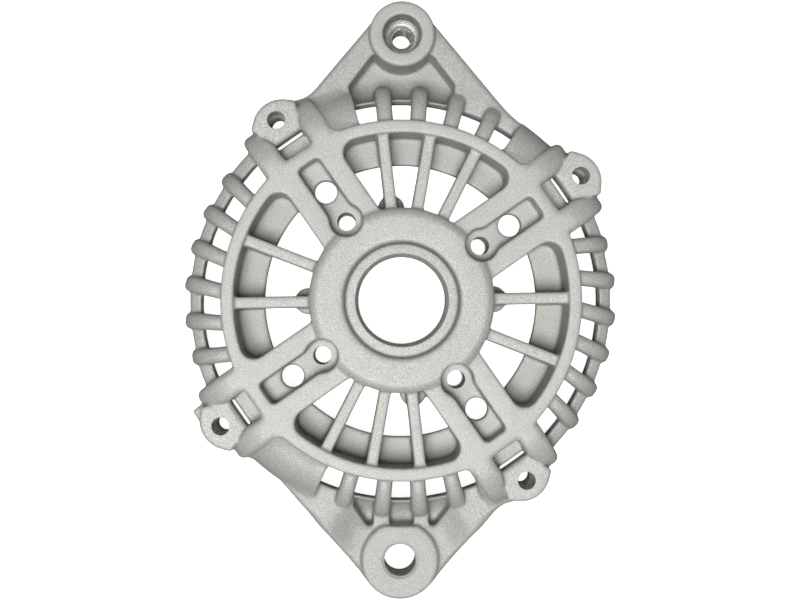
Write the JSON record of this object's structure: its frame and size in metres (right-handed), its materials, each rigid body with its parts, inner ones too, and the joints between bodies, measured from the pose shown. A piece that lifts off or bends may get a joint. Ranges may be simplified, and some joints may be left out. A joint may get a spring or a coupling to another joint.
{
  "type": "alternator drive end bracket",
  "caption": "Die-cast alternator end bracket with a bearing hub, vent windows, cooling fins, through-bolt lugs, a plain mounting ear and a threaded adjusting ear.",
  "frame": {"origin": "on the shaft axis, in the plane of the rear rim that meets the stator", "axes": "+Z runs along the shaft out of the front of the bracket, +Y points from the shaft to the threaded upper ear, +X completes a right-handed frame"},
  "size_m": [0.1488, 0.2038, 0.031],
  "materials": {
    "cast_aluminium": "shot-blasted die casting, matt"
  },
  "bodies": {
    "root": {"drive_end_bracket": "cast_aluminium"}
  },
  "joints": []
}
